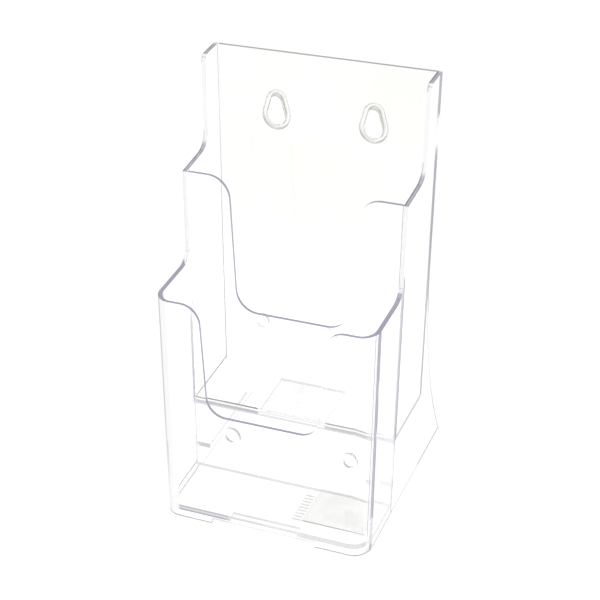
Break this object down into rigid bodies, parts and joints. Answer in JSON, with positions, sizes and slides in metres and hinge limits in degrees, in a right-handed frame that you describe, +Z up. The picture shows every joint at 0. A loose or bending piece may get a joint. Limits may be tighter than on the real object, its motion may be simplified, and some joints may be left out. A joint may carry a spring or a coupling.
{
  "type": "brochure rack",
  "caption": "Clear leaflet rack with two leaning pockets, one behind the other, finger notches, keyholes for wall hanging and legs for counter use.",
  "frame": {"origin": "bottom centre of the rack's box: on the ground, on the centre plane, halfway between the front wall's foot and the rear leg tips", "axes": "+Z up, -Y towards the reader, +X to the reader's right"},
  "size_m": [0.111, 0.1042, 0.198],
  "materials": {
    "clear_sheet": "polished clear",
    "clear_moulded": "polished clear"
  },
  "bodies": {
    "root": {"back_panel": "clear_sheet", "left_side_wall": "clear_sheet", "right_side_wall": "clear_sheet", "rear_pocket_front": "clear_sheet", "pocket_divider": "clear_sheet", "front_pocket_shell": "clear_sheet", "front_pocket_floor": "clear_sheet", "left_leg_rib": "clear_moulded", "right_leg_rib": "clear_moulded", "left_keyhole_collar": "clear_moulded", "right_keyhole_collar": "clear_moulded", "back_boss": "clear_moulded", "back_disc": "clear_moulded", "left_divider_boss": "clear_moulded", "right_divider_boss": "clear_moulded", "rear_floor_plate": "clear_moulded", "front_floor_plate": "clear_moulded", "floor_grip_comb": "clear_moulded"}
  },
  "joints": []
}
